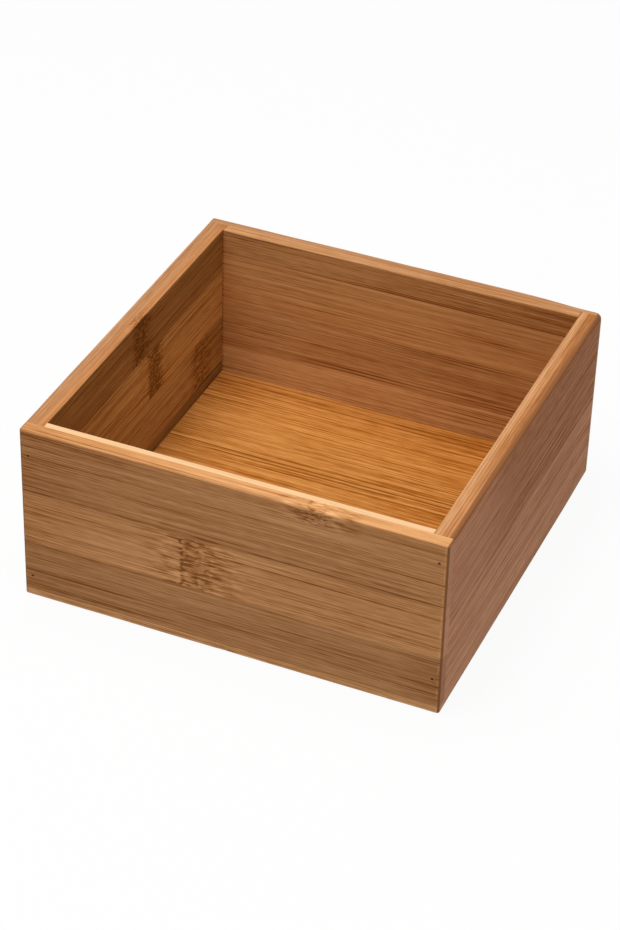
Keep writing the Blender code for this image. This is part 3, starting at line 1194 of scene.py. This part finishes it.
@dataclass(frozen=True)
class Studio:
    """The camera, the lights, the pale floor and the white background."""

    target: Triple = (-0.0011, -0.0049, 0.0302)
    direction: Triple = (-0.30918, 0.75347, -0.58026)
    distance: float = 0.9567
    roll: float = math.radians(1.73)
    lens: float = 107.9
    ambient: float = 0.19
    floor_width: float = 8.0
    floor_tone: float = 0.45
    floor_glow: float = 0.92
    floor_shown: float = 0.95
    floor_roughness: float = 0.9
    lights: tuple[SoftBox, ...] = (
        SoftBox("Overhead", place=(-0.16, -0.16, 1.30), aim=(0, 0, 0), width=1.05, power=16.0),
        SoftBox("Side fill", place=(1.4, -0.6, 0.35), aim=(0, 0, 0.03), width=0.6, power=1.8),
    )

    def camera(self) -> None:
        """Set up the camera."""
        data = bpy.data.cameras.new("Camera")
        data.lens = self.lens
        camera = new_piece("Camera", data)
        forward = Vector(self.direction).normalized()
        camera.location = Vector(self.target) - forward * self.distance
        turn = forward.to_track_quat("-Z", "Y").to_matrix() @ Matrix.Rotation(self.roll, 3, "Z")
        camera.rotation_euler = turn.to_euler()
        bpy.context.scene.camera = camera

    def seen(self, graph: Graph) -> Signal:
        """One where the camera, a reflection or a refraction sees a surface, and zero for its light."""
        path = graph.add("ShaderNodeLightPath", output="Is Camera Ray")
        return path.at_least(path.beside("Is Glossy Ray")).at_least(path.beside("Is Transmission Ray"))

    def world(self) -> None:
        """Make the background white, and the light that comes from it dimmer."""
        world = bpy.data.worlds.new("White room")
        world.use_nodes = True
        bpy.context.scene.world = world
        graph = Graph(world.node_tree)
        background = world.node_tree.nodes["Background"]
        background.inputs["Color"].default_value = shade(WHITE)
        strength = self.ambient + self.seen(graph) * (1 - self.ambient)
        graph.feed(background.inputs["Strength"], strength)

    def floor(self) -> None:
        """Lay the pale floor, which shows white and keeps the shadow."""
        shape = bmesh.new()
        bmesh.ops.create_grid(shape, x_segments=1, y_segments=1, size=self.floor_width / 2)
        floor = shaped_piece("Studio floor", shape)
        material, graph, shader = new_material("Pale floor")
        seen = self.seen(graph)
        colour = graph.blend(seen, shade(WHITE, self.floor_tone), shade(WHITE, self.floor_shown))
        graph.feed(shader.inputs["Base Color"], colour)
        shader.inputs["Roughness"].default_value = self.floor_roughness
        shader.inputs["Specular IOR Level"].default_value = 0.0
        glow = graph.add("ShaderNodeEmission", {}, {"Color": shade(WHITE), "Strength": 1.0})
        surface = Signal(graph, shader.outputs[0])
        sockets = {0: seen * self.floor_glow, 1: surface, 2: glow}
        mixed = graph.add("ShaderNodeMixShader", {}, sockets)
        graph.feed(material.node_tree.nodes["Material Output"].inputs["Surface"], mixed)
        floor.data.materials.append(material)

    def build(self) -> None:
        """Set the scene up."""
        bpy.context.scene.view_settings.view_transform = "Standard"
        self.camera()
        self.world()
        self.floor()
        for light in self.lights:
            light.build()


# Each finish's rim colour is painted light: it sets how bright, and in which hue, the faces that look up
# show.
OUTER = Bamboo(
    light=(0.87, 0.434, 0.178), dark=(0.48, 0.176, 0.047), rim=(1.10, 1.16, 1.18), rim_calm=0.2,
)
FRONT = replace(OUTER, chipped=0.4)
# Left and back outer plies: painted shade, a rim colour that makes their tops darker than the front and
# right tops.
OUTER_WITH_PAINTED_SHADE_ON_TOP = replace(OUTER, rim=(0.82, 0.81, 0.87), rim_calm=0.1)
RIGHT = Bamboo(
    light=(0.80, 0.372, 0.187), dark=(0.46, 0.163, 0.052), rim=(0.96, 0.98, 0.81), skin=1.0, gloss=0.06,
    rim_calm=0.1, bands=0.35, fine=2.0,
)
INNER = Bamboo(
    light=(0.76, 0.440, 0.183), dark=(0.42, 0.178, 0.046), rim=(1.03, 0.93, 1.02), rim_calm=0.15, fine=2.3,
)
# Its strong rim colour is painted light that lifts its top back up.
# Left inner ply: its darker colours are mostly painted shade on its face, and partly a darker wood.
LEFT_INNER_WITH_PAINTED_SHADE = Bamboo(
    light=(0.57, 0.316, 0.104), dark=(0.26, 0.106, 0.018), scorched=(0.175, 0.072, 0.0095),
    rim=(1.46, 1.26, 1.55), fine=2.4,
)
# Front inner ply: its pale cream colour is a painted highlight, for the light that the top's inner edge
# catches.
CREAM_PAINTED_HIGHLIGHT = Bamboo(light=(0.97, 0.62, 0.33), dark=(0.74, 0.40, 0.165), dark_lines=0.2, ground=0.3)
FLOOR = Bamboo(
    light=(0.68, 0.306, 0.080), dark=(0.37, 0.109, 0.0080), scorched=(0.24, 0.080, 0.012), fine=2.5,
    flecks=1.2, bands=0.6, dark_lines=0.5, bundles=0.7, density=0.72, waviness=0.6, rim_calm=0.0,
)


SEED_STEP = 0.73


def looks(seed: float, *rows: tuple) -> tuple[SlatLook, ...]:
    """Give each slat of a ply its look.

    Args:
        seed: the ply's seed.
        rows: each slat's tone, its redness, how strongly its fibres show, and its marks.

    Returns:
        The slats' looks.
    """
    return tuple(
        SlatLook(tone, seed + SEED_STEP * number, tuple(marks), redness, contrast)
        for number, (tone, redness, contrast, *marks) in enumerate(rows, 1)
    )


CORNER_SHADE = Fade(0.007, 0.0, 0.5)
# The fades towards the left end of the top four slats are painted shade, darkening the face towards its
# left.
FRONT_LOOKS = looks(
    1.0,
    (0.94, 0.02, 1, Knuckle(0.705, 0.0038, crack=0.3, stroke=0.0028, ground=0.05), Fade(0.45, 0, 0.36)),
    (0.96, 0, 1, DarkLine(0.07, darkness=0.6), DarkLine(0.17), DarkLine(0.50), Fade(0.4, 0, 0.26)),
    (
        1.09, 0, 1, Knuckle(0.425, 0.0052, crack=0.8, stroke=0.0065, ground=0.36),
        DarkLine(0.8), Fade(0.3, 0, 0.2),
    ),
    (
        0.875, -0.01, 1, DarkLine(0.97, darkness=0.3), DarkLine(0.4),
        Fade(0.35, 0.05, 0.2), Fade(0.86, 1, 0.3),
    ),
    (1.25, -0.09, 1, Knuckle(0.5, 0.004, darkness=0.2)),
)
BACK_INNER_LOOKS = looks(
    4.0,
    (0.96, 0.02, 1.1, DarkLine(0.04), Fade(0.3, 0.7, 0.30), CORNER_SHADE),
    (1.06, 0.01, 0.8, Fade(0.5, 0.8, 0.08), CORNER_SHADE),
    (0.94, -0.01, 1, DarkLine(0.46), DarkLine(0.07), DarkLine(0.14), Fade(0.4, 0.75, 0.14), CORNER_SHADE),
    (1.11, -0.09, 0.95, Fade(0.5, 0.8, 0.22), CORNER_SHADE),
)
# Each slat's redness is set against the orange light that the floor throws on it.
# Painted shade: the lowest slat's low tone darkens the foot of the wall where it meets the floor.
LEFT_INNER_LOOKS = looks(
    6.0,
    (
        0.78, 0.10, 1,
        Knuckle(0.50, 0.0052, 0.75, crack=0, stroke=0.0014, soft=0.0026, ground=0.72, flank=0.3),
        Fade(0.97, 1, 0.4),
    ),
    (
        1.26, -0.03, 1,
        Knuckle(0.575, 0.0044, 1.05, crack=0, stroke=0.0013, soft=0.0022, ground=0.80, flank=0.3),
        Fade(0.5, 0.2, 0.16),
    ),
    (
        1.10, -0.07, 1,
        Knuckle(0.84, 0.0065, 0.5, crack=0, stroke=0.0016, soft=0.0030, ground=0.7, flank=0.4),
        Fade(0.7, 1, 0.25),
    ),
    # Painted shade: the lowest slat is darker where the wall meets the floor.
    (0.64, -0.05, 1),
)
# The fades towards the back end are painted shade, which darkens the right face towards the back.
RIGHT_LOOKS = looks(
    7.0,
    (0.96, 0.02, 1, Fade(0.12, 0.45, 0.38)),
    (0.92, 0.01, 1, Fade(0.15, 0.5, 0.38), DarkLine(0.04)),
    (1.01, 0, 1, DarkLine(0.5), Fade(0.4, 0.8, 0.10)),
    (1.15, -0.07, 1, Fade(0.4, 0.8, 0.12)),
)
FLOOR_LOOKS = looks(
    9.0,
    (
        1.09, -0.01, 0.75, DarkLine(0.5, 0.0006, 0.6), DarkLine(0.3, 0.0005, 0.5),
        DarkLine(0.93, 0.0007, 0.8), Fade(0.3, 0.75, 0.38),
    ),
    (1.12, -0.01, 0.75, Fade(0.3, 0.75, 0.26), Fade(0.2, 0, 0.08)),
    (
        1.09, -0.01, 0.85, DarkLine(0.35, 0.0006, 0.7), DarkLine(0.22, 0.0006, 0.7),
        DarkLine(0.12, 0.0005, 0.6), Fade(0.3, 0.75, 0.14),
    ),
    (
        1.11, -0.01, 0.8, DarkLine(0.96, 0.0005, 0.5), DarkLine(0.3, 0.0006, 0.6),
        DarkLine(0.08, 0.0007, 0.6), Fade(0.45, 0.72, 0.38),
    ),
    (1.06, -0.01, 0.85),
    (1.12, -0.01, 0.8, DarkLine(0.4, 0.0006, 0.6), Fade(0.6, 0.2, 0.15)),
    (1.08, -0.01, 0.85, DarkLine(0.8, 0.0005, 0.5), Fade(0.3, 0.8, 0.15)),
    (1.13, -0.01, 0.8, DarkLine(0.3, 0.0006, 0.6)),
)

WALLS = (
    Wall(
        "front", Lay.END_WALL, -1, (FRONT, CREAM_PAINTED_HIGHLIGHT),
        (FRONT_LOOKS, looks(2.0, (1.0, 0, 1), (0.9, 0, 1), (1.0, 0, 1), (0.95, 0, 1))),
    ),
    Wall(
        "back", Lay.END_WALL, 1, (OUTER_WITH_PAINTED_SHADE_ON_TOP, INNER),
        (
            looks(3.0, (0.84, 0, 1), (0.93, 0, 1, Knuckle(0.3)), (1.06, 0, 1), (0.97, 0, 1)),
            BACK_INNER_LOOKS,
        ),
    ),
    Wall(
        "left", Lay.SIDE_WALL, -1, (OUTER_WITH_PAINTED_SHADE_ON_TOP, LEFT_INNER_WITH_PAINTED_SHADE),
        (
            looks(5.0, (0.88, 0, 1), (0.95, 0, 1), (1.05, 0, 1, Knuckle(0.62)), (0.9, 0, 1)),
            LEFT_INNER_LOOKS,
        ),
    ),
    Wall(
        "right", Lay.SIDE_WALL, 1, (RIGHT, INNER),
        (
            RIGHT_LOOKS,
            looks(8.0, (1.0, 0, 1), (0.96, 0, 1), (1.05, 0, 1, Knuckle(0.4)), (0.94, 0, 1)),
        ),
    ),
)


def main() -> None:
    """Build the organizer and its studio."""
    logging.basicConfig(level=logging.INFO, format="%(name)s: %(message)s")
    Studio().build()
    tree = SlatTree()
    walls = [wall.plies() for wall in WALLS]
    built = [[ply.build(tree) for ply in plies] for plies in walls]
    floor = Ply("floor", Lay.FLOOR, FLOOR, FLOOR_LOOKS, meets={}, rounds={})
    floor_slats = floor.build(tree)
    groove = floor_groove(floor)
    bores = CornerPins().build(DarkSteel().material())
    for (outer, inner), (outer_slats, inner_slats) in zip(walls, built):
        outer.finished(outer_slats, bores)
        inner.finished(inner_slats, [*bores, groove])
    floor.finished(floor_slats, [])
    for cutter in (groove, *bores):
        bpy.data.objects.remove(cutter)


if __name__ == "__main__":
    main()
